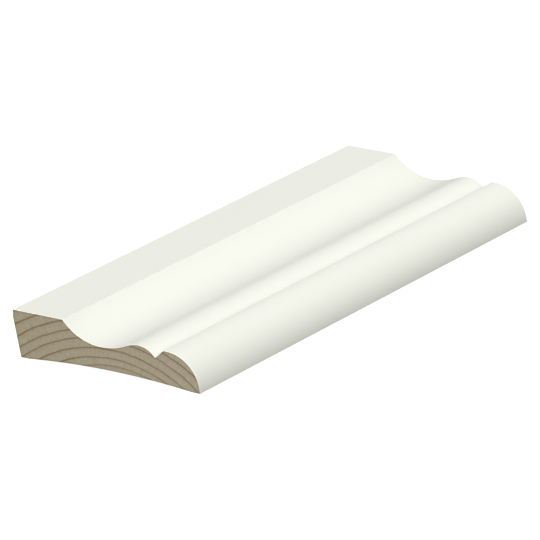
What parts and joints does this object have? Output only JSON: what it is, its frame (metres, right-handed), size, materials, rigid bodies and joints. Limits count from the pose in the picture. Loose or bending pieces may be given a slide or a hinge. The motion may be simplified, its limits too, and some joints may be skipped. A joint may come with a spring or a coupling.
{
  "type": "skirting board",
  "caption": "Short length of white-painted pine skirting board with a flat band, cove, bead, V quirk and ovolo, hollowed at the back and cut square at both ends.",
  "frame": {"origin": "middle of the board's length and width, on the surface that its back lies on", "axes": "+X along the board; +Y across it, from the thin edge towards the thick edge that stands on the floor in use; +Z out of the back's plane, up through the moulded face"},
  "size_m": [0.2, 0.069, 0.0152],
  "materials": {
    "painted_pine": "smooth warm-white satin paint on the face of the board",
    "bare_pine": "unpainted pine with brown growth rings, sawn across the grain at the ends and planed along the back and the thick edge"
  },
  "bodies": {
    "root": {"skirting_board": "painted_pine"}
  },
  "joints": []
}
